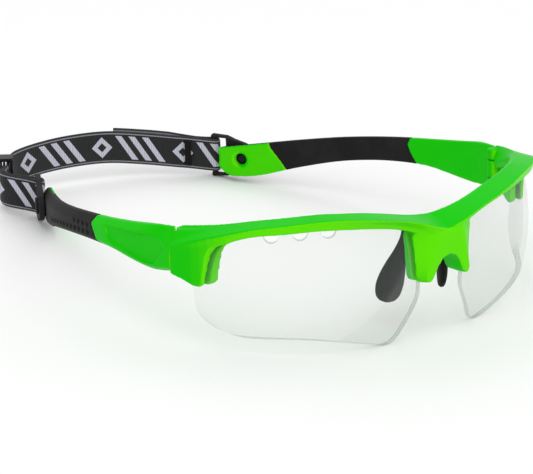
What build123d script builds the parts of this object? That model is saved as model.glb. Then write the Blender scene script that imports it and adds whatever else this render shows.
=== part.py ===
from build123d import *
import math
import os

# Sports protective goggles: half-rim wrap frame, two clear lenses, folding temples with
# rubber grips, adjustable nose pads and a woven head strap on snap-in tabs.
#
# Worn frame, millimetres: +X is the wearer's left, -Y is forwards, +Z is up, and the
# hinge seams lie on the plane y = 0.  Every left piece is modelled and the right one is
# its mirror image.  At the end all pieces are tilted so that they stand on z = 0.

# ---- Driving dimensions --------------------------------------------------------------
lens_x, lens_y, lens_z = 11.6, 15.0, -11.1   # centre of the left lens sphere
lens_radius = 60.2                           # front surface of the lens
lens_thickness = 1.8
fit_gap = 0.05                               # seat clearance inside one body
body_gap = 0.3                               # clearance between moving bodies

lip_radius = 61.4                            # front lip of the rim, about the lens axis
brow_back_radius = 55.9
rim_back_radius = 54.2
bridge_angle = 9.0                           # the brow's lower facet is upright past this angle
end_inner_radius = 55.8

pin_x = 64.6                                 # hinge pin, on the seam plane
pin_radius = 0.85
pin_fit, pin_slack = 0.02, 0.06              # pin clearance in the frame and in the temple
knuckle_radius = 2.3
screw_head_radius, screw_head_depth = 1.5, 0.8
screw_head_out = 0.1                         # the head stands this far below the knuckle
screw_slot = (4.0, 0.4, 0.7)                 # across, wide, high
screw_cover = 1.0                            # material left over the screw's upper end
knuckle_top = (0.85, 4.4)                    # frame's upper knuckle, z range
knuckle_mid = (-5.35, 0.55)                  # temple's knuckle
knuckle_low = (-8.8, -5.65)                  # frame's lower knuckle

temple_gap = 0.15
skin = 0.8                                   # thickness of the rubber overmould
hole_radius = 2.1                            # strap hole in the temple tip
stud_radius = 1.5
tip_station = 109.5                          # y of the strap hole
tip_height = -16.4

tab_thickness = 2.0
bar_offset = 11.7                            # strap bar from the stud
bar_radius = 1.0
slot_start, slot_half = 6.9, 6.6             # slot's inner end, and half its width
web_thickness = 1.0
web_width = 12.0
web_gap = 0.3                                # web to bar
slider_length, slider_height, slider_depth = 6.5, 15.0, 5.2
slider_wall = 0.9
slider_centre = (-40.7, 136.7, -12.5)
slider_along = (-4.0, -5.1)                  # direction of the web at the slider
tack_size = (2.2, 9.0, 3.2)                  # bar tack: along the web, high, through

rest_tilt = -3.655                           # degrees about X, brings the piece to rest
rest_lift = 31.993                           # then this far up
rest_shift = -47.37                          # and this far forwards, to centre the box

# Brow stations: angle about the lens axis, then the section's heights and ridge radius.
# Columns: degrees, lower edge z, ridge radius, ridge z, top rear z.
brow_stations = [
    (-13, -3.8, 65.6, 0.2, 4.2),
    (-10.5, -3.2, 65.6, 1.0, 4.5),
    (-5, -1.2, 65.6, 3.1, 5.3),
    (0, 1.5, 65.5, 5.3, 6.3),
    (7, 4.0, 65.4, 7.6, 7.9),
    (15, 5.5, 64.7, 9.2, 9.4),
    (22, 6.2, 63.5, 9.9, 10.1),
    (30, 6.6, 62.7, 9.9, 10.5),
    (40, 6.0, 62.3, 9.0, 9.9),
    (50, 5.0, 62.1, 7.6, 8.9),
    (60, 1.6, 61.9, 4.9, 7.4),
    (68, -1.0, 61.6, 2.4, 6.4),
    (76, -3.0, 61.0, -0.6, 5.4),
    (80, -3.6, 60.8, -2.0, 5.0),
]
# Temple stations: y, outer x, top z, bottom z, thickness.
temple_stations = [
    (temple_gap, 70.3, 4.8, -9.0, 4.8),
    (10, 70.7, 4.0, -10.5, 4.0),
    (20, 70.5, 2.5, -10.3, 3.7),
    (34, 69.8, 0.6, -9.2, 3.6),
    (48, 68.1, -1.1, -9.8, 3.6),
    (62, 65.3, -3.0, -11.4, 3.6),
    (76, 60.9, -5.1, -13.9, 3.6),
    (90, 54.3, -7.5, -17.6, 3.5),
    (104, 46.4, -10.1, -22.0, 3.3),
    (116.7, 39.1, -12.4, -23.2, 3.2),
]
# Strap route in plan with the height of the web's centre line, from bar to bar.
strap_route = [
    (27.5, 127.5, -14.6),
    (16.5, 134.5, -12.7),
    (4.0, 140.0, -10.9),
    (-10.0, 143.6, -10.6),
    (-22.5, 145.0, -11.2),
    (-32.5, 143.4, -11.8),
    (-38.2, 138.9, -12.2),
    (-42.2, 133.8, -12.8),
    (-46.2, 128.7, -13.8),
]
bar_height = -16.2


# ---- Helpers -------------------------------------------------------------------------
def smooth_table(rows, at):
    """Row of a station table at a parameter, by a monotone Catmull-Rom blend."""
    keys = [row[0] for row in rows]
    k = max(0, min(len(rows) - 2, sum(1 for key in keys if key <= at) - 1))
    t = (at - keys[k]) / (keys[k + 1] - keys[k])
    before, after = max(k - 1, 0), min(k + 2, len(rows) - 1)
    out = []
    for col in range(1, len(rows[0])):
        a, b = rows[k][col], rows[k + 1][col]
        span = keys[k + 1] - keys[k]
        slope_a = (b - rows[before][col]) / (keys[k + 1] - keys[before]) * span
        slope_b = (rows[after][col] - a) / (keys[after] - keys[k]) * span
        h = (2 * t**3 - 3 * t**2 + 1, t**3 - 2 * t**2 + t, 3 * t**2 - 2 * t**3, t**3 - t**2)
        out.append(h[0] * a + h[1] * slope_a + h[2] * b + h[3] * slope_b)
    return out


def ring_point(angle, radius, z):
    """Point at an angle and radius about the vertical axis through the lens centre."""
    a = math.radians(angle)
    return Vector(lens_x + radius * math.sin(a), lens_y - radius * math.cos(a), z)


def section(points):
    """Planar face through a closed list of points."""
    return Face(Wire.make_polygon(points, close=True))


def ruled(sections):
    """Solid ruled between neighbouring sections."""
    return Solid.make_loft([face.outer_wire() for face in sections], ruled=True)


def side_cut(outline, x_low, x_high):
    """Prism along X of an outline given as (y, z) pairs."""
    face = section([Vector(x_low, y, z) for y, z in outline])
    return Solid.extrude(face, Vector(x_high - x_low, 0, 0))


def front_cut(outline, y_low, y_high):
    """Prism along Y of an outline given as (x, z) pairs."""
    face = section([Vector(x, y_low, z) for x, z in outline])
    return Solid.extrude(face, Vector(0, y_high - y_low, 0))


def post(x, y, z_range, radius):
    """Upright cylinder."""
    low, high = z_range
    return Pos(x, y, (low + high) / 2) * Cylinder(radius, high - low)


def slab(x_range, y_range, z_range):
    """Box from three ranges."""
    size = [high - low for low, high in (x_range, y_range, z_range)]
    middle = [(high + low) / 2 for low, high in (x_range, y_range, z_range)]
    return Pos(*middle) * Box(*size)


def mirrored(shape):
    """The right-hand twin of a left-hand piece."""
    return mirror(shape, about=Plane.YZ)


# ---- Lenses --------------------------------------------------------------------------
lens_outline = [
    (8.7, -17.5), (8.6, -8.0), (9.2, -2.0), (11.5, 3.0), (19.0, 5.8), (27.5, 7.3), (34.5, 8.0),
    (42.5, 8.2), (51.5, 7.4), (58.5, 6.2), (64.0, 3.6), (66.0, -1.0), (66.3, -8.0), (66.0, -15.0),
    (64.9, -21.5), (62.6, -25.3), (59.5, -27.4), (55.7, -28.0), (49.6, -28.2), (42.6, -28.9),
    (34.5, -30.5), (27.7, -32.2), (20.6, -34.15), (18.0, -34.43), (16.2, -33.6), (14.2, -30.8),
    (11.4, -25.4),
]
vent_angles = (26.8, 35.4, 44.0)
vent_width = 5.0
vent_depth = 3.2                             # below the brow's lower edge


def lens_shell(grow):
    """Spherical shell of the lens, thickened on both faces by grow."""
    centre = Pos(lens_x, lens_y, lens_z)
    outer = centre * Sphere(lens_radius + grow)
    return outer - centre * Sphere(lens_radius - lens_thickness - grow)


def vent(angle):
    """U-shaped vent slot that opens at the lens's upper edge."""
    lower = smooth_table(brow_stations, angle)[0] - vent_depth
    half = vent_width / 2
    centre = ring_point(angle, lens_radius, lower + half)
    frame = Location(Plane(origin=centre, x_dir=(0, 0, 1), z_dir=centre - ring_point(angle, 0, centre.Z)))
    slot = Cylinder(half, 12) + Pos(6, 0, 0) * Box(12, 2 * half, 12)
    return frame * slot


def lens_blank():
    """Prism along Y of the lens outline, a smooth closed curve through its points."""
    curve = Spline([Vector(x, -60, z) for x, z in lens_outline], periodic=True)
    return Solid.extrude(Face(Wire([curve])), Vector(0, 55, 0))


def make_lens():
    blank = lens_blank()
    lens = lens_shell(0) & blank
    for angle in vent_angles:
        lens -= vent(angle)
    return lens


# ---- Front frame ---------------------------------------------------------------------
def brow_section(angle):
    low, ridge_radius, ridge_z, top = smooth_table(brow_stations, angle)
    steep = max(0.0, min(1.0, -angle / bridge_angle))
    lip = min(lip_radius, ridge_radius - 0.6) * (1 - steep) + (ridge_radius - 1.0) * steep
    outline = [(lip, low), (lip + 0.3, low + 1.3), (ridge_radius, ridge_z),
               (brow_back_radius, top), (rim_back_radius - 0.4, low + 2.4), (rim_back_radius, low)]
    return section([ring_point(angle, radius, z) for radius, z in outline])


def end_section(angle):
    """Section of the end piece, which carries the rim's outer corner and the hinge."""
    low, ridge_radius, ridge_z, top = smooth_table(brow_stations, angle)
    outer = ridge_radius - 0.3
    outline = [(outer, -14), (outer, ridge_z - 0.4), (brow_back_radius + 2.0, top - 1.0),
               (end_inner_radius, top - 1.4), (end_inner_radius, -14)]
    return section([ring_point(angle, radius, z) for radius, z in outline])


end_outline = [(0, 9), (0, -9.3), (-4.5, -10.2), (-8.3, -11.6), (-10.4, -11.8), (-11.5, -10.8),
               (-12.2, -6.0), (-13.0, -1.6), (-14.2, 0.8), (-16.6, 2.2), (-21.0, 3.4), (-21.0, 9)]
# The bridge's back holds the lens and its narrower front face has flaring prongs.
bridge_back = [(-0.5, 1.8), (10.5, 2.8), (12.0, 0.0), (11.6, -3.0), (10.9, -13.0), (10.2, -14.6),
               (8.6, -15.2), (6.6, -14.9), (5.5, -13.6), (4.0, -10.2), (2.2, -7.8), (-0.5, -6.9)]
bridge_front = [(-0.5, 0.4), (4.6, 0.6), (5.7, -1.0), (6.2, -3.6), (8.6, -12.8), (8.4, -14.2),
                (7.7, -14.8), (6.8, -14.6), (5.9, -13.4), (4.4, -10.2), (2.5, -7.8), (-0.5, -6.9)]
bridge_depths = (-45.4, -40.8)               # lens and back, along y
bridge_foot, bridge_slope = -48.6, 0.08      # front face: y at the prongs' ends, forward lean


def make_bridge_half():
    lowest = min(z for x, z in bridge_front)
    front = section([Vector(x, bridge_foot - (z - lowest) * bridge_slope, z) for x, z in bridge_front])
    return ruled([front] + [section([Vector(x, y, z) for x, z in bridge_back]) for y in bridge_depths])


def make_front_half():
    angles = [-13, -10.5, -8, -5, -2.5] + [2.5 * k for k in range(0, 33)]
    brow = ruled([brow_section(angle) for angle in angles])
    end = ruled([end_section(angle) for angle in range(56, 81, 3)])
    end &= side_cut(end_outline, 50, 80)
    half = brow + end + make_bridge_half()
    half &= slab((0, 90), (-60, 0), (-20, 15))
    half -= lens_shell(fit_gap) & lens_blank()
    for z_range in (knuckle_top, knuckle_low):
        half += post(pin_x, 0, z_range, knuckle_radius)
    low, high = knuckle_mid
    half -= post(pin_x, 0, (low - body_gap, high + body_gap), knuckle_radius + body_gap)
    half += Pos(*wire_root) * Rot(X=90) * Pos(0, 0, -0.7) * Cylinder(boss_radius, boss_length)
    half -= Pos(*wire_root) * Rot(X=90) * Pos(0, 0, -2.2) * Cylinder(wire_radius + wire_fit, 6.0)
    half -= post(pin_x, 0, (-14, knuckle_top[1] - screw_cover + 0.1), pin_radius + pin_fit)
    half -= post(pin_x, 0, (-14, knuckle_low[0] + screw_head_depth), screw_head_radius + fit_gap)
    return half


def make_hinge_screw():
    """Slotted screw that pins the three knuckles from below."""
    foot = knuckle_low[0]
    screw = post(pin_x, 0, (foot, knuckle_top[1] - screw_cover), pin_radius)
    screw += post(pin_x, 0, (foot - screw_head_out, foot + screw_head_depth), screw_head_radius)
    return screw - Pos(pin_x, 0, foot - screw_head_out) * Box(*screw_slot)


# ---- Nose pads -----------------------------------------------------------------------
wire_radius, wire_fit = 0.55, 0.06
boss_radius, boss_length = 2.2, 3.4          # boss on the frame that holds the wire
wire_root = (6.6, -40.6, -1.0)
wire_route = [(6.6, -41.4, -1.0), (6.6, -36.8, -1.0), (7.5, -36.1, -5.0), (9.9, -34.4, -13.0)]
# Pad stations: x, y, z of the middle, half width across, half thickness.
pad_stations = [
    (6.6, -36.5, 0.4, 1.0, 0.9),
    (6.6, -36.5, -0.6, 1.4, 1.3),
    (7.0, -36.3, -3.4, 1.7, 1.5),
    (8.1, -35.6, -7.0, 2.2, 1.5),
    (9.4, -34.7, -11.0, 3.2, 1.6),
    (10.4, -33.9, -15.0, 4.1, 1.7),
    (11.0, -33.2, -18.6, 4.4, 1.7),
    (11.3, -32.6, -22.0, 3.7, 1.4),
    (11.3, -32.2, -24.6, 1.7, 0.8),
]
pad_turn = -35.0                             # the pads spread apart towards the face


def make_nose_wire():
    path = FilletPolyline(*[Vector(*p) for p in wire_route], radius=1.6)
    start = Plane(origin=path @ 0, z_dir=path % 0)
    return sweep(start * Circle(wire_radius), path=path)


def make_nose_pad():
    """Teardrop pad moulded around the end of its wire."""
    sections = []
    for x, y, z, across, half in pad_stations:
        plane = Location((x, y, z)) * Rot(Z=pad_turn)
        points = [plane * Pos(half * math.cos(k * math.pi / 6), across * math.sin(k * math.pi / 6), 0)
                  for k in range(12)]
        sections.append(section([p.position for p in points]))
    return ruled(sections) - make_nose_wire()


# ---- Temples -------------------------------------------------------------------------
ridge_run = 16.0                             # the brow's ridge line fades out over this y
seam_ridge_z = -2.4                          # height of the ridge line at the seam
seam_lean = 3.6                              # outer face leans in by this at the seam
seam_drop = 0.3                              # fall of the top facet at the seam
chamfer_rise, ridge_rise = 1.6, 3.4          # chamfer and ridge line above the lower edge
least_top = 0.7                              # narrowest flat top of a section
facet_drop = 2.2                             # fall of the top facet behind the ridge line
rib_first, rib_pitch, rib_count = 47.0, 3.3, 13
rib_size = (1.7, 1.0, 1.5)                   # slot: along the temple, through, high
rib_rise, upper_rib_rise, upper_ribs = 2.9, 5.4, 4   # two rows, above the lower edge
cap_inset = 0.7                              # the grip's cap stops this far from the inner face
over = 2.0                                   # how far a cutting shape runs past the temple


def temple_frame(y):
    """Outer point, unit tangent and unit inward normal of the temple in plan."""
    x0 = smooth_table(temple_stations, max(y - 0.5, temple_gap))[0]
    x1 = smooth_table(temple_stations, min(y + 0.5, 116.7))[0]
    step = min(y + 0.5, 116.7) - max(y - 0.5, temple_gap)
    tangent = Vector(x1 - x0, step, 0).normalized()
    if y < 1:
        tangent = Vector(0, 1, 0)
    x = smooth_table(temple_stations, y)[0]
    return Vector(x, y, 0), tangent, Vector(-tangent.Y, tangent.X, 0)


def temple_section(y, inset=0.0, from_outside=0.0, past_inside=0.0, tall=0.0):
    """Seven-sided section: top facet, outer face that leans in front, and lower chamfer."""
    x, top, low, thick = smooth_table(temple_stations, y)
    origin, tangent, inward = temple_frame(y)
    front = max(0.0, 1 - y / ridge_run)
    ridge = (low + ridge_rise) * (1 - front) + seam_ridge_z * front
    top += tall - inset
    low += inset - tall
    near = inset + from_outside
    far = thick - inset + past_inside
    middle = (near + far) / 2
    lean = min(seam_lean * front, far - near - least_top)
    drop = facet_drop * (1 - front) + seam_drop * front
    outline = [(far, low), (far, top), (max(middle, near + lean + 0.5), top),
               (near + lean, top - drop), (near, ridge), (near, low + chamfer_rise), (middle, low)]
    return section([origin + inward * n + Vector(0, 0, z) for n, z in outline])


grip_front = [(41.5, 4), (42.6, 0.2), (44.4, -3.0), (42.2, -7.0), (38.0, -11.5), (37.0, -14)]
grip_rear = [(99.0, -5), (97.6, -11.0), (94.0, -16.0), (90.5, -21.5), (90.0, -24)]
panel_floor = 69.3                           # x of the recessed panel's floor
panel_outline = [(35.0, -1.6), (7.0, 0.9), (3.0, -2.6), (9.0, -8.2), (14.0, -8.6), (30.0, -7.0),
                 (34.6, -4.6)]


def temple_blank(**options):
    stations = [temple_gap, 3, 6.5] + [10 + 3.5 * k for k in range(0, 31)] + [116.7]
    return ruled([temple_section(y, **options) for y in stations])


def tip_plane():
    """Plane on the outer face of the tip: X along the temple, Z outwards."""
    origin, tangent, inward = temple_frame(tip_station)
    return Plane(origin=origin + Vector(0, 0, tip_height), x_dir=tangent, z_dir=inward * -1)


def tip_rounding():
    """Prism that keeps a rounded rear end, seen from the side."""
    outline = [(-5, -30), (-5, 12), (111.5, 12), (111.5, -11.0), (114.5, -11.9), (116.4, -13.6),
               (117.0, -16.2), (116.0, -19.0), (112.6, -22.2), (109.0, -23.6), (104.0, -23.9),
               (98.0, -22.0), (92.0, -30)]
    return side_cut(outline, 20, 90)


def rib_slots():
    """Row of short slots along the grip's lower edge, with a few more above its front."""
    cuts = []
    for k in range(rib_count + upper_ribs):
        upper = k >= rib_count
        y = rib_first + rib_pitch * (k - rib_count if upper else k)
        origin, tangent, inward = temple_frame(y)
        height = smooth_table(temple_stations, y)[2] + (upper_rib_rise if upper else rib_rise)
        place = Plane(origin=origin + Vector(0, 0, height), x_dir=tangent, z_dir=(0, 0, 1))
        cuts.append(Location(place) * Box(*rib_size))
    return cuts


def make_temple_and_grip():
    blank = temple_blank() & tip_rounding()
    core = temple_blank(inset=skin)
    behind_skin = temple_blank(from_outside=skin, past_inside=over, tall=over)
    under_cap = temple_blank(past_inside=over, tall=-skin)
    middle_zone = side_cut(grip_front + grip_rear[::-1], 20, 90)
    rear_zone = side_cut([(99.0, 0), (130, 0), (130, -30)] + grip_rear[::-1], 20, 90)
    grip = (blank & middle_zone) - core
    grip += (blank & rear_zone) - behind_skin
    grip += (blank & rear_zone & temple_blank(past_inside=-cap_inset, tall=over)) - under_cap
    temple = blank - grip
    for cut in rib_slots():
        grip -= cut
    temple -= side_cut(panel_outline, panel_floor, 80)
    low, high = knuckle_mid
    temple += post(pin_x, 0, knuckle_mid, knuckle_radius)
    temple += slab((pin_x, pin_x + 2.4), (temple_gap, 3.4), knuckle_mid)
    for z_range in ((high, 12), (-14, low)):
        z_low, z_high = z_range
        temple -= post(pin_x, 0, (z_low, z_high), knuckle_radius + body_gap)
    temple -= post(pin_x, 0, (-14, 12), pin_radius + pin_slack)
    drill = Location(tip_plane()) * Cylinder(hole_radius, 20)
    sink = Location(tip_plane()) * Pos(0, 0, -3.2) * Cone(hole_radius + 1.4, hole_radius, 1.4)
    return temple - drill - sink, grip - drill


# ---- Strap tabs ----------------------------------------------------------------------
def make_tab():
    """Tab of soft plastic: broad at the strap bar, narrow at the stud."""
    along = [(-4.6, 1.9), (-3.2, 4.0), (0, 5.2), (3.4, 6.2), (6.6, 7.5), (bar_offset + 0.6, 7.9),
             (bar_offset + 1.0, 7.4)]
    outline = along + [(u, -w) for u, w in reversed(along)]
    face = section([Vector(u, w, 0) for u, w in outline])
    plate = Pos(0, 0, body_gap) * Solid.extrude(face, Vector(0, 0, tab_thickness))
    slot = slab((slot_start, bar_offset + 3), (-slot_half, slot_half), (0, 4))
    plate -= slot
    bar = Pos(bar_offset, 0, body_gap + tab_thickness / 2) * Rot(X=90) * Cylinder(bar_radius, 13.4)
    plate += bar
    plate -= Cylinder(stud_radius + fit_gap, 12)
    return Location(tip_plane()) * plate


def make_stud():
    """Push-in stud: round head outside, short plug into the temple's hole."""
    top = body_gap + tab_thickness
    head = Pos(0, 0, top + 0.45) * Cylinder(2.9, 0.9)
    plug = Pos(0, 0, (top - 1.7) / 2) * Cylinder(stud_radius, top + 1.7)
    return Location(tip_plane()) * (head + plug)


# ---- Strap ---------------------------------------------------------------------------
def bar_point(side):
    """Plan point of a tab's strap bar; side is 1 on the left and -1 on the right."""
    plane = tip_plane()
    bar = plane.origin + plane.x_dir * bar_offset + plane.z_dir * (body_gap + tab_thickness / 2)
    return Vector(side * bar.X, bar.Y, bar_height)


def route_samples():
    """Smooth centre line from bar to bar, as points about 3 mm apart."""
    points = [bar_point(1)] + [Vector(*p) for p in strap_route] + [bar_point(-1)]
    rows = [(k, p.X, p.Y, p.Z) for k, p in enumerate(points)]
    steps = 4
    return [Vector(*smooth_table(rows, k / steps)) for k in range(steps * (len(rows) - 1) + 1)]


def offset_line(points, offsets):
    """Shift each point sideways in plan by its own offset."""
    out = []
    for k, point in enumerate(points):
        before, after = points[max(k - 1, 0)], points[min(k + 1, len(points) - 1)]
        along = Vector(after.X - before.X, after.Y - before.Y, 0).normalized()
        out.append(point + Vector(along.Y, -along.X, 0) * offsets[k])
    return out


def hairpin(centre, start, radius, turn):
    """Points of a half turn about a bar, between the two layers."""
    first = math.atan2(start.Y - centre.Y, start.X - centre.X)
    steps = 6
    return [Vector(centre.X + radius * math.cos(first + turn * math.pi * k / steps),
                   centre.Y + radius * math.sin(first + turn * math.pi * k / steps), start.Z)
            for k in range(1, steps)]


def web_path():
    """Centre line of the whole web: tail, left bar, head span, right bar, return."""
    loop = bar_radius + web_gap + web_thickness / 2
    main = route_samples()
    count = len(main)
    spread = [loop * max(0.0, 1 - min(k, count - 1 - k) / 3.0) for k in range(count)]
    head = offset_line(main, [-s for s in spread])
    tail_count, return_count = 12, 11
    tail_line = offset_line(main, [max(s, web_thickness + 0.2) for s in spread])[:tail_count]
    return_line = offset_line(main, [max(s, web_thickness + 0.2) for s in spread])[-return_count:]
    tail = [p + Vector(0, 0, min(0.9, 0.3 * max(k - 2, 0))) for k, p in enumerate(tail_line)]
    left_turn = hairpin(main[0], tail[0], loop, -1)
    right_turn = hairpin(main[-1], head[-1], loop, -1)
    return tail[::-1] + left_turn + head + right_turn + return_line[::-1]


def make_slider():
    """Flat tri-glide buckle: a sleeve around the web with a bar across each face."""
    turn = math.degrees(math.atan2(slider_along[1], slider_along[0]))
    place = Pos(*slider_centre) * Rot(Z=turn)
    body = Box(slider_length, slider_depth, slider_height)
    body -= Box(20, slider_depth - 2 * slider_wall, slider_height - 2 * slider_wall - 0.6)
    window = Pos(0, -slider_depth / 2, 0) * Box(slider_length - 2.6, 2, slider_height - 3.6)
    return place * (body - window)


def tack_box(grow=0.0):
    """Block of bar-tack thread through both layers beside the left tab."""
    main = route_samples()
    at, ahead = main[3], main[4]
    turn = math.degrees(math.atan2(ahead.Y - at.Y, ahead.X - at.X))
    length, height, depth = tack_size
    return Pos(at.X, at.Y, at.Z) * Rot(Z=turn) * Box(length, depth, height + grow)


def make_webbing():
    path = web_path()
    sections = []
    for k, point in enumerate(path):
        before, after = path[max(k - 1, 0)], path[min(k + 1, len(path) - 1)]
        along = Vector(after.X - before.X, after.Y - before.Y, 0).normalized()
        side = Vector(along.Y, -along.X, 0) * (web_thickness / 2)
        rise = Vector(0, 0, web_width / 2)
        sections.append(section([point + side + rise, point - side + rise,
                                 point - side - rise, point + side - rise]))
    return ruled(sections) - tack_box()


def make_all():
    """Every piece in the worn frame, by node name."""
    front_half = make_front_half()
    temple, grip = make_temple_and_grip()
    pieces = {"front_frame": front_half + mirrored(front_half), "strap_webbing": make_webbing(),
              "strap_bar_tack": tack_box(), "tri_glide": make_slider()}
    left = {"lens": make_lens(), "hinge_screw": make_hinge_screw(), "nose_wire": make_nose_wire(),
            "nose_pad": make_nose_pad(), "temple": temple, "grip": grip, "anchor_tab": make_tab(),
            "anchor_stud": make_stud()}
    for name, shape in left.items():
        pieces[name + "_left"] = shape
        pieces[name + "_right"] = mirrored(shape)
    return pieces


def write_all(pieces):
    os.makedirs("parts", exist_ok=True)
    rest = Pos(0, rest_shift, rest_lift) * Rot(X=rest_tilt)
    for name, shape in pieces.items():
        export_step(rest * shape, f"parts/{name}.step")


write_all(make_all())
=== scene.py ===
"""Sports protective goggles: half-rim wrap frame, clear lenses and a woven head strap.

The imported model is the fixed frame.  Every size below is in metres unless its name says
otherwise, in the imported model's frame: +X is the wearer's left, -Y is forwards, +Z is up.
"""
import logging
import math
from dataclasses import dataclass, field
from enum import Enum
from typing import Any, Dict, List, Sequence, Tuple, Union

import bpy
import numpy as np
from mathutils import Matrix, Vector


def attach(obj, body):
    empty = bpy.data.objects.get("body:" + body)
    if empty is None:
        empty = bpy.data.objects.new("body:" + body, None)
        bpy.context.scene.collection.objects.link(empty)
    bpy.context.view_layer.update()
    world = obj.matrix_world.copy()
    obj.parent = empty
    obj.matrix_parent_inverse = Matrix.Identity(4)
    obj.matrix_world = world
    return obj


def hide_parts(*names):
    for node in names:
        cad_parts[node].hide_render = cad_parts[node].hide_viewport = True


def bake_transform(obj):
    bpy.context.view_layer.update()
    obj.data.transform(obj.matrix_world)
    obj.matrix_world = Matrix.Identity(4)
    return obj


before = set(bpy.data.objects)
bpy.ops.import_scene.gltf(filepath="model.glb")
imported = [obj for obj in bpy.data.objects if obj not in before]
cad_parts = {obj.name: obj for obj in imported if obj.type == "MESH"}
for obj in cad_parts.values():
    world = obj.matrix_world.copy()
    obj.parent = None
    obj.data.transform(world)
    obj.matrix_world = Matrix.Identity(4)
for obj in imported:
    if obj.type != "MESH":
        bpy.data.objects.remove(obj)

LOG = logging.getLogger("goggles")
MM = 0.001
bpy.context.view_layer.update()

# The goggles were laid down from the worn pose by this turn about X and this shift.
REST_TILT_DEG = -3.655
REST_SHIFT_MM = (0.0, -47.37, 31.993)

Colour = Tuple[float, float, float]


def worn_to_rest(points: np.ndarray) -> np.ndarray:
    """Turn worn-pose millimetres into resting metres: a turn about X, then a shift.

    Args:
        points: Array of shape (..., 3) in worn-pose millimetres.

    Returns:
        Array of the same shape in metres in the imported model's frame.
    """
    tilt = math.radians(REST_TILT_DEG)
    turn = np.array([[1, 0, 0],
                     [0, math.cos(tilt), -math.sin(tilt)],
                     [0, math.sin(tilt), math.cos(tilt)]])
    return (np.asarray(points, float) @ turn.T + np.array(REST_SHIFT_MM)) * MM


def smooth_stations(keys: np.ndarray, values: np.ndarray, at: np.ndarray) -> np.ndarray:
    """Cubic Hermite curve through stations, with slopes from each one's neighbours.

    Args:
        keys: Rising parameters of the stations, shape (n,).
        values: Station values, shape (n, columns).
        at: Parameters wanted, shape (m,).

    Returns:
        Values at each wanted parameter, shape (m, columns).
    """
    keys = np.asarray(keys, float)
    values = np.asarray(values, float)
    before = np.maximum(np.arange(len(keys)) - 1, 0)
    after = np.minimum(np.arange(len(keys)) + 1, len(keys) - 1)
    slopes = (values[after] - values[before]) / (keys[after] - keys[before])[:, None]
    cell = np.clip(np.searchsorted(keys, at, side="right") - 1, 0, len(keys) - 2)
    span = (keys[cell + 1] - keys[cell])[:, None]
    t = ((at - keys[cell]) / (keys[cell + 1] - keys[cell]))[:, None]
    return ((2 * t**3 - 3 * t**2 + 1) * values[cell] + (t**3 - 2 * t**2 + t) * slopes[cell] * span
            + (3 * t**2 - 2 * t**3) * values[cell + 1] + (t**3 - t**2) * slopes[cell + 1] * span)


def grid_mesh(name: str, grid: np.ndarray, close_around: bool = True,
              cap_ends: bool = True, uv: np.ndarray = None) -> bpy.types.Object:
    """Make a mesh from a grid of points, one row a section and one column a rail.

    Args:
        name: Name of the new object.
        grid: Points in metres, shape (sections, around, 3).
        close_around: Join the last rail to the first.
        cap_ends: Close the first and last sections with a face each.
        uv: Optional texture coordinates, shape (sections, around + 1, 2).

    Returns:
        The new object, linked to the scene, at the origin.
    """
    rows, cols = grid.shape[:2]
    reach = cols if close_around else cols - 1
    row, col = np.meshgrid(np.arange(rows - 1), np.arange(reach), indexing="ij")
    ahead = (col + 1) % cols
    quads = np.stack([row * cols + col, (row + 1) * cols + col,
                      (row + 1) * cols + ahead, row * cols + ahead], axis=-1).reshape(-1, 4)
    faces = quads.tolist()
    if cap_ends:
        faces.append(list(range(cols)))
        faces.append([(rows - 1) * cols + k for k in reversed(range(cols))])
    mesh = bpy.data.meshes.new(name)
    mesh.from_pydata(grid.reshape(-1, 3).tolist(), [], faces)
    if uv is not None:
        layer = mesh.uv_layers.new(name="cloth")
        corner = np.stack([uv[row, col], uv[row + 1, col], uv[row + 1, col + 1],
                           uv[row, col + 1]], axis=-2).reshape(-1, 2)
        full = np.zeros((len(mesh.loops), 2))
        full[:len(corner)] = corner
        layer.data.foreach_set("uv", full.ravel())
    mesh.update()
    volume = signed_volume(mesh)
    if volume < 0:
        mesh.flip_normals()
    mesh.shade_smooth()
    piece = bpy.data.objects.new(name, mesh)
    bpy.context.scene.collection.objects.link(piece)
    return piece


def signed_volume(mesh: bpy.types.Mesh) -> float:
    """Volume inside a closed mesh, negative if its faces point inwards."""
    mesh.calc_loop_triangles()
    corners = np.empty(len(mesh.loop_triangles) * 3, int)
    mesh.loop_triangles.foreach_get("vertices", corners)
    points = np.empty(len(mesh.vertices) * 3)
    mesh.vertices.foreach_get("co", points)
    a, b, c = np.moveaxis(points.reshape(-1, 3)[corners.reshape(-1, 3)], 1, 0)
    return float(np.einsum("ij,ij->i", a, np.cross(b, c)).sum() / 6)


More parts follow.
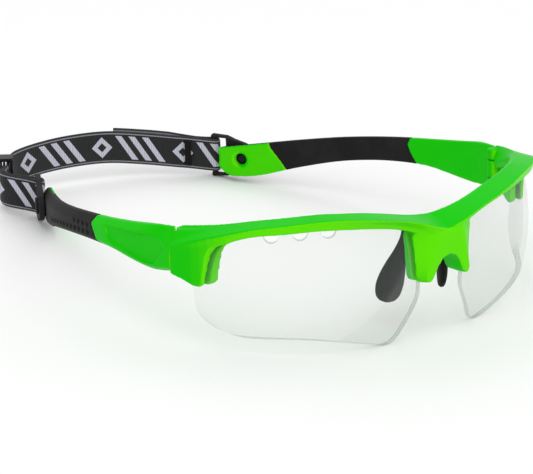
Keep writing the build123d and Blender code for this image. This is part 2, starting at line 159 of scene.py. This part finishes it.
# ---- Shader maths --------------------------------------------------------------------
class Wire:
    """A shader value that adds Math nodes when it is used in arithmetic."""

    def __init__(self, recipe: "Recipe", socket: bpy.types.NodeSocket) -> None:
        """Wrap one output socket of a recipe's node tree."""
        self.recipe = recipe
        self.socket = socket

    def _math(self, operation: str, *values: Any) -> "Wire":
        """Add a Math node that works on the given values."""
        inputs = dict(enumerate(values))
        return self.recipe.node("ShaderNodeMath", {"operation": operation}, inputs)

    def __add__(self, other: Any) -> "Wire":
        """Sum of two values."""
        return self._math("ADD", self, other)

    def __radd__(self, other: Any) -> "Wire":
        """Sum of two values, reflected."""
        return self._math("ADD", other, self)

    def __sub__(self, other: Any) -> "Wire":
        """Difference of two values."""
        return self._math("SUBTRACT", self, other)

    def __rsub__(self, other: Any) -> "Wire":
        """Difference of two values, reflected."""
        return self._math("SUBTRACT", other, self)

    def __mul__(self, other: Any) -> "Wire":
        """Product of two values."""
        return self._math("MULTIPLY", self, other)

    def __rmul__(self, other: Any) -> "Wire":
        """Product of two values, reflected."""
        return self._math("MULTIPLY", other, self)

    def at_most(self, other: Any) -> "Wire":
        """Smaller of two values."""
        return self._math("MINIMUM", self, other)

    def below(self, limit: Any) -> "Wire":
        """1 where the value is under a limit, else 0."""
        return self._math("LESS_THAN", self, limit)

    def above(self, limit: Any) -> "Wire":
        """1 where the value is over a limit, else 0."""
        return self._math("GREATER_THAN", self, limit)

    def size(self) -> "Wire":
        """Absolute value."""
        return self._math("ABSOLUTE", self)

    def wrapped(self, period: float) -> "Wire":
        """Remainder after whole periods, from 0 up to the period."""
        return self._math("FLOORED_MODULO", self, period)

    def wave(self) -> "Wire":
        """Sine of the value in radians."""
        return self._math("SINE", self)

    def ramp(self, low: float, high: float) -> "Wire":
        """0 under low, 1 over high and smooth between them."""
        return self.recipe.node("ShaderNodeMapRange", {"interpolation_type": "SMOOTHSTEP"},
                                {"Value": self, "From Min": low, "From Max": high})


class Recipe:
    """One procedural material on a Principled shader."""

    def __init__(self, name: str) -> None:
        """Make an empty material with a Principled shader."""
        self.material = bpy.data.materials.new(name)
        self.material.use_nodes = True
        self.tree = self.material.node_tree
        self.shader = self.tree.nodes["Principled BSDF"]
        self.output = self.tree.nodes["Material Output"]

    def node(self, kind: str, settings: Dict[str, Any] = None,
             inputs: Dict[Union[int, str], Any] = None, output: Union[int, str] = 0) -> Wire:
        """Add one node.

        Args:
            kind: Blender's node type name.
            settings: Node properties, set before its sockets; "stops" fills a colour ramp.
            inputs: Socket name or number to a number, colour, vector or Wire.
            output: Output socket wanted.

        Returns:
            The chosen output as a Wire.
        """
        made = self.tree.nodes.new(kind)
        for key, value in (settings or {}).items():
            setattr(made, key, value)
        for key, value in (inputs or {}).items():
            self.feed(made.inputs[key], value)
        return Wire(self, made.outputs[output])

    def feed(self, socket: bpy.types.NodeSocket, value: Any) -> None:
        """Link a Wire into a socket, or set a plain value on it."""
        if isinstance(value, Wire):
            self.tree.links.new(value.socket, socket)
        else:
            socket.default_value = value

    def place(self) -> Wire:
        """Object coordinates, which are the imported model's own metres."""
        return self.node("ShaderNodeTexCoord", output="Object")

    def outward(self) -> Wire:
        """Surface direction in the piece's own frame, so that it turns with the piece."""
        return self.node("ShaderNodeTexCoord", output="Normal")

    def part_of(self, vector: Wire, axis: str) -> Wire:
        """One of the X, Y and Z parts of a vector."""
        return self.node("ShaderNodeSeparateXYZ", {}, {0: vector}, axis)

    def noise(self, scale: float, detail: float = 3.0, vector: Wire = None) -> Wire:
        """Noise from about 0 to 1, with scale in cells per metre."""
        return self.node("ShaderNodeTexNoise", {},
                         {"Vector": vector or self.place(), "Scale": scale, "Detail": detail})

    def blend(self, amount: Union[Wire, float], low: Any, high: Any) -> Wire:
        """Colour between low, at 0, and high, at 1."""
        made = self.tree.nodes.new("ShaderNodeMix")
        made.data_type = "RGBA"
        self.feed(made.inputs[0], amount)
        self.feed(made.inputs[6], low if isinstance(low, Wire) else (*low, 1))
        self.feed(made.inputs[7], high if isinstance(high, Wire) else (*high, 1))
        return Wire(self, made.outputs[2])

    def bump(self, height: Wire, distance: float, strength: float = 1.0,
             normal: Wire = None) -> Wire:
        """Surface normal bent by a height, with distance in metres."""
        inputs = {"Height": height, "Distance": distance, "Strength": strength}
        if normal:
            inputs["Normal"] = normal
        return self.node("ShaderNodeBump", {}, inputs)

    def set(self, **sockets: Any) -> None:
        """Feed the shader's sockets; an underscore in a name stands for a space."""
        for name, value in sockets.items():
            socket = self.shader.inputs[name.replace("_", " ")]
            if isinstance(value, tuple) and len(value) == 3 and socket.type == "RGBA":
                value = (*value, 1)
            self.feed(socket, value)


# ---- Finishes ------------------------------------------------------------------------
@dataclass(frozen=True)
class MouldedGreen:
    """Semi-gloss neon nylon, with painted light that makes its forward faces yellower and brighter,
    and a faint moulded grain.
    """

    body: Colour = (0.0005, 0.52, 0.0)
    # The second, brighter green and the two turn limits below are painted light, laid on the faces
    # that turn forwards.
    painted_lit_green: Colour = (0.115, 0.75, 0.0)
    roughness: float = 0.36
    specular: float = 0.06
    painted_light_from: float = 0.25
    painted_light_full: float = 0.75
    mottle_scale: float = 90
    grain_scale: float = 9000
    grain_depth: float = 0.00002

    def make(self) -> bpy.types.Material:
        """Build the material."""
        m = Recipe("moulded_green")
        mottle = m.noise(self.mottle_scale, 2)
        facing = m.outward()
        # Painted light: faces turned forwards are mixed towards the brighter, yellower green.
        painted_front_light = (m.part_of(facing, "Y") * -1).ramp(self.painted_light_from, self.painted_light_full)
        colour = m.blend(painted_front_light * 0.9 + mottle * 0.1, self.body, self.painted_lit_green)
        grain = m.noise(self.grain_scale, 2)
        m.set(Base_Color=colour, Roughness=self.roughness + mottle * 0.06 - 0.03,
              Normal=m.bump(grain, self.grain_depth, 0.25), IOR=1.45,
              Specular_IOR_Level=self.specular)
        return m.material


@dataclass(frozen=True)
class ClearLens:
    """Clear coated polycarbonate, grey-green where the light passes along it at an edge."""

    centre: Tuple[float, float, float] = (11.6, 15.0, -11.1)
    body: Colour = (0.42, 0.44, 0.43)
    edge: Colour = (0.36, 0.43, 0.39)
    veil: float = 0.045
    rim_depth: float = 0.34
    glare: float = 0.12
    densest: float = 0.85
    index: float = 1.5
    specular: float = 0.15

    def make(self, side: int) -> bpy.types.Material:
        """Build the material for one side, 1 for the left and -1 for the right."""
        m = Recipe(f"clear_lens_{'left' if side > 0 else 'right'}")
        x, y, z = self.centre
        centre = worn_to_rest(np.array([side * x, y, z]))
        radial = m.node("ShaderNodeVectorMath", {"operation": "SUBTRACT"},
                        {0: m.place(), 1: tuple(centre)})
        radial = m.node("ShaderNodeVectorMath", {"operation": "NORMALIZE"}, {0: radial})
        normal = m.outward()
        facing = m.node("ShaderNodeVectorMath", {"operation": "DOT_PRODUCT"},
                        {0: radial, 1: normal}, "Value")
        rim = 1 - facing.size().ramp(0.5, 0.85)
        grazing = m.node("ShaderNodeFresnel", {}, {"IOR": self.index})
        smear = m.noise(45, 3)
        m.set(Base_Color=m.blend(rim, self.body, self.edge), IOR=self.index,
              Roughness=0.02 + smear * 0.02 + rim * 0.2,
              Alpha=(self.veil + grazing * self.glare + rim * self.rim_depth).at_most(self.densest))
        m.shader.inputs["Specular IOR Level"].default_value = self.specular
        return m.material


@dataclass(frozen=True)
class SoftRubber:
    """Matte rubber or soft plastic with fine grain and slightly dusty high spots."""

    name: str
    body: Colour
    dust: Colour
    roughness: float = 0.62
    grain: float = 0.00004
    specular: float = 0.14

    def make(self) -> bpy.types.Material:
        """Build the material."""
        m = Recipe(self.name)
        fine = m.noise(5200, 3)
        patch = m.noise(120, 4)
        m.set(Base_Color=m.blend(patch.ramp(0.35, 0.75) * 0.7, self.body, self.dust),
              Roughness=self.roughness + patch * 0.12 - 0.06,
              Normal=m.bump(fine, self.grain, 0.5))
        m.shader.inputs["Specular IOR Level"].default_value = self.specular
        return m.material


@dataclass(frozen=True)
class ScrewSteel:
    """Fine turned stainless steel."""

    body: Colour = (0.52, 0.52, 0.53)

    def make(self) -> bpy.types.Material:
        """Build the material."""
        m = Recipe("screw_steel")
        scratch = m.noise(7000, 2)
        m.set(Base_Color=m.blend(scratch, self.body, (0.66, 0.66, 0.67)), Metallic=1.0,
              Roughness=0.25 + scratch * 0.15, Normal=m.bump(scratch, 0.00001, 0.3))
        return m.material


@dataclass(frozen=True)
class WovenWeb:
    """Black woven web with a generic pale pattern of slanted bars and diamonds."""

    black: Colour = (0.004, 0.004, 0.005)
    pale: Colour = (0.60, 0.60, 0.71)
    width: float = 12 * MM
    repeat: float = 30 * MM
    slant: float = 0.7
    rib: float = 0.85 * MM
    yarn: float = 0.42 * MM
    bar_start: float = 4 * MM
    bar_end: float = 17.4 * MM
    bar_pitch: float = 5 * MM
    bar_width: float = 2.4 * MM
    diamond_at: float = 24.5 * MM
    diamond_outer: float = 3.9 * MM
    diamond_inner: float = 1.7 * MM
    pattern_half: float = 4.3 * MM
    edging_from: float = 4.9 * MM
    edging_to: float = 5.3 * MM
    edging_tone: float = 0.45

    def make(self) -> bpy.types.Material:
        """Build the material; U runs along the web and V across it, both in metres."""
        m = Recipe("woven_web")
        uv = m.node("ShaderNodeUVMap", {"uv_map": "cloth"})
        along, across = m.part_of(uv, "X"), m.part_of(uv, "Y")
        rise = across - self.width / 2
        middle = rise.size()
        cell = along.wrapped(self.repeat)
        slanted = cell - rise * self.slant
        bars = ((slanted - self.bar_start).wrapped(self.bar_pitch).below(self.bar_width)
                * slanted.above(self.bar_start) * slanted.below(self.bar_end))
        diamond = ((cell - self.diamond_at).size() + middle).below(self.diamond_outer)
        hole = ((cell - self.diamond_at).size() + middle).above(self.diamond_inner)
        inside = middle.below(self.pattern_half)
        edging = middle.above(self.edging_from) * middle.below(self.edging_to)
        pattern = ((bars + diamond * hole) * inside + edging * self.edging_tone).at_most(1.0)
        turn = 2 * math.pi
        weft = (along * (turn / self.rib)).wave()
        warp = (across * (turn / self.yarn)).wave()
        weave = weft * 0.5 + (weft * warp) * 0.5
        shade = weave.ramp(-0.9, 0.8)
        woven = pattern * (0.68 + shade * 0.32)
        m.set(Base_Color=m.blend(woven, self.black, self.pale), Roughness=0.8 - pattern * 0.12,
              Normal=m.bump(weave, 0.00012, 0.8))
        m.shader.inputs["Sheen Weight"].default_value = 0.12
        return m.material


# ---- Assemblies ----------------------------------------------------------------------
def dress(node: str, material: bpy.types.Material) -> None:
    """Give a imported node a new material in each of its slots."""
    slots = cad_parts[node].material_slots
    for entry in slots:
        entry.material = material


@dataclass(frozen=True)
class SoftMoulding:
    """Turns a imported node's faceted shape into a moulded one with rounded edges."""

    node: str
    name: str
    cell: float = 0.34 * MM
    passes: int = 7
    merge_gap: float = 0.002 * MM
    pull: float = 0.5

    def build(self, body: str, slot: str, material: bpy.types.Material) -> bpy.types.Object:
        """Merge a copy of the node, remesh it evenly and relax its points.

        Args:
            body: Body that the piece moves with.
            slot: The record's material slot; not used.
            material: Finish of the whole piece.

        Returns:
            The new piece, which replaces its node.
        """
        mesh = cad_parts[self.node].data.copy()
        mesh.materials.clear()
        piece = bpy.data.objects.new(self.name, mesh)
        bpy.context.scene.collection.objects.link(piece)
        weld = piece.modifiers.new("weld", "WELD")
        weld.merge_threshold = self.merge_gap
        grid = piece.modifiers.new("even", "REMESH")
        grid.mode = "VOXEL"
        grid.voxel_size = self.cell
        relax = piece.modifiers.new("relax", "SMOOTH")
        relax.factor, relax.iterations = self.pull, self.passes
        graph = bpy.context.evaluated_depsgraph_get()
        final = bpy.data.meshes.new_from_object(piece.evaluated_get(graph))
        piece.modifiers.clear()
        piece.data = final
        final.shade_smooth()
        final.materials.clear()
        final.materials.append(material)
        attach(piece, body)
        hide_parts(self.node)
        LOG.info("%s: %d faces", self.name, len(final.polygons))
        return piece


class Side(Enum):
    """The wearer's side that a piece is on."""

    LEFT = 1
    RIGHT = -1

    @property
    def word(self) -> str:
        """Ending of the side's node names."""
        return self.name.lower()


@dataclass
class HeadStrap:
    """The woven strap: one web that turns back on itself round each tab's bar."""

    route: List[Tuple[float, float, float]] = field(default_factory=lambda: [
        (27.5, 127.5, -14.6), (16.5, 134.5, -12.7), (4.0, 140.0, -10.9), (-10.0, 143.6, -10.6),
        (-22.5, 145.0, -11.2), (-32.5, 143.4, -11.8), (-38.2, 138.9, -12.2),
        (-42.2, 133.8, -12.8), (-46.2, 128.7, -13.8)])
    bar: Tuple[float, float, float] = (38.4, 120.3, -16.2)
    width_mm: float = 12.0
    thick_mm: float = 1.0
    loop_mm: float = 1.8
    layer_mm: float = 1.2
    step: int = 12
    spread_run: float = 0.75
    tail_lift_mm: float = 0.9
    edge_power: int = 14
    edge_share: float = 0.96
    rails: int = 17
    tail_reach: float = 2.75
    return_reach: float = 2.5
    bend_start: Tuple[float, float, float] = (22.0, 131.5, -13.6)
    bend_end: Tuple[float, float, float] = (-11.0, 144.0, -10.6)

    def centre_line(self) -> np.ndarray:
        """Worn-pose middle line: tail, left bar, head span, right bar, return."""
        x, y, z = self.bar
        points = np.array([(x, y, z), *self.route, (-x, y, z)])
        last = len(points) - 1
        keys = np.arange(len(points), dtype=float)
        at = np.linspace(0, last, last * self.step + 1)
        main = smooth_stations(keys, points, at)
        ahead = np.gradient(main[:, :2], axis=0)
        ahead /= np.linalg.norm(ahead, axis=1, keepdims=True)
        side = np.column_stack([ahead[:, 1], -ahead[:, 0], np.zeros(len(main))])
        near = np.minimum(at, last - at)
        spread = self.loop_mm * np.clip(1 - near / self.spread_run, 0, 1)
        head = main - side * spread[:, None]
        outer = main + side * np.maximum(spread, self.layer_mm)[:, None]
        tail = outer[at <= self.tail_reach]
        lift = np.clip((at[:len(tail)] - 0.5) / 0.75, 0, 1) * self.tail_lift_mm
        tail = tail + np.column_stack([lift * 0, lift * 0, lift])
        back = outer[at >= last - self.return_reach]
        left_turn = self.half_turn(points[0], tail[0])
        right_turn = self.half_turn(points[-1], head[-1])
        return np.vstack([tail[::-1], left_turn, head, right_turn, back[::-1]])

    def half_turn(self, centre: np.ndarray, start: np.ndarray) -> np.ndarray:
        """Half a circle round a bar in plan, clockwise from a starting point."""
        first = math.atan2(start[1] - centre[1], start[0] - centre[0])
        angles = first - np.linspace(0, math.pi, 14)[1:-1]
        return np.column_stack([centre[0] + self.loop_mm * np.cos(angles),
                                centre[1] + self.loop_mm * np.sin(angles),
                                np.full(len(angles), start[2])])

    def build(self, material: bpy.types.Material) -> bpy.types.Object:
        line = self.centre_line()
        run = np.gradient(line, axis=0)
        run[:, 2] = 0
        run /= np.linalg.norm(run, axis=1, keepdims=True)
        side = np.column_stack([run[:, 1], -run[:, 0], np.zeros(len(run))])
        across = np.linspace(-1, 1, self.rails)
        edge = np.sqrt(np.clip(1 - np.abs(across) ** self.edge_power, 0, 1))
        half, flat = self.width_mm / 2, self.thick_mm / 2
        height = np.concatenate([across, across[::-1][1:-1]]) * half
        depth = np.concatenate([edge, -edge[::-1][1:-1]]) * flat * self.edge_share
        grid = (line[:, None, :] + side[:, None, :] * depth[None, :, None]
                + np.array([0, 0, 1]) * height[None, :, None])
        steps = np.linalg.norm(np.diff(line, axis=0), axis=1)
        length = np.concatenate([[0], np.cumsum(steps)]) * MM
        v = np.append(height, height[0]) * MM + half * MM
        uv = np.stack(np.broadcast_arrays(length[:, None], v[None, :]), axis=-1)
        piece = grid_mesh("strap_web", worn_to_rest(grid), uv=uv)
        piece.data.materials.append(material)
        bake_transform(piece)
        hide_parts("strap_webbing")
        LOG.info("strap web %.0f mm long", length[-1] / MM)
        return piece


@dataclass
class NosePads:
    """Two soft teardrop pads behind the bridge, one for each side."""

    # Worn-pose stations: x, y, z of the middle, then half width and half thickness.
    stations: List[Tuple[float, float, float, float, float]] = field(default_factory=lambda: [
        (6.6, -36.5, 0.35, 0.9, 0.8), (6.6, -36.5, -0.6, 1.4, 1.3), (7.0, -36.3, -3.4, 1.7, 1.5),
        (8.1, -35.6, -7.0, 2.2, 1.5), (9.4, -34.7, -11.0, 3.2, 1.6), (10.4, -33.9, -15.0, 4.1, 1.7),
        (11.0, -33.2, -18.6, 4.4, 1.7), (11.3, -32.6, -22.0, 3.7, 1.4),
        (11.3, -32.25, -24.3, 1.7, 0.8)])
    turn_deg: float = -35.0

    def build(self, side: Side, material: bpy.types.Material) -> bpy.types.Object:
        """Carry an ellipse down the stations and close it to a point at both ends."""
        table = np.array(self.stations)
        at = np.linspace(0, len(table) - 1, 72)
        rows = smooth_stations(np.arange(len(table), dtype=float), table, at)
        close = np.sqrt(np.clip(np.minimum(at, len(table) - 1 - at) / 0.35, 0, 1))
        rows[:, 3:] *= np.maximum(close, 0.04)[:, None]
        turn = math.radians(self.turn_deg)
        angle = np.linspace(0, 2 * math.pi, 33)[:-1]
        thick, wide = rows[:, 4:5] * np.cos(angle), rows[:, 3:4] * np.sin(angle)
        grid = np.stack([rows[:, 0:1] + thick * math.cos(turn) - wide * math.sin(turn),
                         rows[:, 1:2] + thick * math.sin(turn) + wide * math.cos(turn),
                         rows[:, 2:3] + 0 * wide], axis=-1)
        grid[..., 0] *= side.value
        piece = grid_mesh(f"soft_pad_{side.word}", worn_to_rest(grid))
        piece.data.materials.append(material)
        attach(piece, f"nose_{side.word}")
        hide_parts(f"nose_pad_{side.word}")
        return piece


@dataclass
class Studio:
    """Floor, light and camera."""

    camera_at: Tuple[float, float, float] = (-0.5147, -0.6482, 0.3079)
    aim_at: Tuple[float, float, float] = (0.0007, -0.0061, 0.0069)
    roll_deg: float = 0.634
    lens_mm: float = 176.97
    sensor_mm: float = 36
    floor_half: float = 3.0
    surround: float = 0.79

    def build(self) -> None:
        """Make the pale floor, the soft lights and the camera."""
        half = self.floor_half
        grid = np.array([[(-half, -half, 0), (half, -half, 0)], [(-half, half, 0), (half, half, 0)]])
        floor = grid_mesh("floor", grid, close_around=False, cap_ends=False)
        if floor.data.polygons[0].normal.z < 0:
            floor.data.flip_normals()
        m = Recipe("floor_paper")
        m.set(Base_Color=m.blend(m.noise(4, 2) * 0.3, (0.86, 0.86, 0.86), (0.90, 0.90, 0.90)),
              Roughness=0.9)
        floor.data.materials.append(m.material)
        world = bpy.data.worlds.new("studio")
        world.use_nodes = True
        world.node_tree.nodes["Background"].inputs[0].default_value = (1, 1, 1, 1)
        world.node_tree.nodes["Background"].inputs[1].default_value = self.surround
        bpy.context.scene.world = world
        self.lamp("key", (-0.6, -0.7, 1.1), 1.4, 6.5)
        self.lamp("fill", (0.9, -0.5, 0.9), 1.2, 3)
        self.lamp("back", (0.1, 0.9, 1.1), 1.2, 3.5)
        camera = bpy.data.objects.new("camera", bpy.data.cameras.new("camera"))
        bpy.context.scene.collection.objects.link(camera)
        aim = (Vector(self.aim_at) - Vector(self.camera_at)).to_track_quat("-Z", "Y")
        camera.matrix_world = (Matrix.Translation(self.camera_at) @ aim.to_matrix().to_4x4()
                               @ Matrix.Rotation(math.radians(self.roll_deg), 4, "Z"))
        camera.data.lens = self.lens_mm
        camera.data.sensor_width = self.sensor_mm
        bpy.context.scene.camera = camera
        bpy.context.scene.view_settings.view_transform = "Standard"

    def lamp(self, name: str, at: Sequence[float], size: float, watts: float) -> None:
        """Add one square soft light that points at the goggles."""
        data = bpy.data.lights.new(name, "AREA")
        data.size, data.energy = size, watts
        light = bpy.data.objects.new(name, data)
        light.location = at
        light.rotation_euler = (-Vector(at)).to_track_quat("-Z", "Y").to_euler()
        bpy.context.scene.collection.objects.link(light)


def main() -> None:
    """Build the studio, then each assembly, and note the sizes."""
    logging.basicConfig(level=logging.INFO)
    Studio().build()
    green = MouldedGreen().make()
    grip = SoftRubber("grip_rubber", (0.008, 0.007, 0.0075), (0.018, 0.015, 0.016)).make()
    tab = SoftRubber("tab_plastic", (0.013, 0.012, 0.013), (0.026, 0.024, 0.025)).make()
    black = SoftRubber("pad_rubber", (0.003, 0.003, 0.003), (0.007, 0.007, 0.007)).make()
    gloss = SoftRubber("buckle_plastic", (0.006, 0.006, 0.007), (0.012, 0.012, 0.012), 0.34).make()
    steel = ScrewSteel().make()
    SoftMoulding("front_frame", "half_rim").build("front", "frame_green", green)
    SoftMoulding("tri_glide", "buckle", 0.2 * MM, 3).build("slider", "glide_plastic", gloss)
    dress("strap_bar_tack", black)
    for side in Side:
        word = side.word
        arm = f"temple_{word}"
        end = "temple_left" if side is Side.LEFT else "strap_end"
        core = SoftMoulding(arm, f"temple_core_{word}", passes=4)
        core.build(arm, "frame_green", green)
        rubber = SoftMoulding(f"grip_{word}", f"temple_grip_{word}", 0.3 * MM, 3)
        rubber.build(arm, "grip_rubber", grip)
        dress(f"lens_{word}", ClearLens().make(side.value))
        plate = SoftMoulding(f"anchor_tab_{word}", f"strap_tab_{word}", 0.2 * MM, 4)
        plate.build(end, "tab_plastic", tab)
        stud = SoftMoulding(f"anchor_stud_{word}", f"tab_stud_{word}", 0.15 * MM, 4)
        stud.build(end, "stud_plastic", gloss)
        dress(f"hinge_screw_{word}", steel)
        dress(f"nose_wire_{word}", steel)
        NosePads().build(side, black)
        LOG.info("dressed the %s side", word)
    HeadStrap().build(WovenWeb().make())
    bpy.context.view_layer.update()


if __name__ == "__main__":
    main()
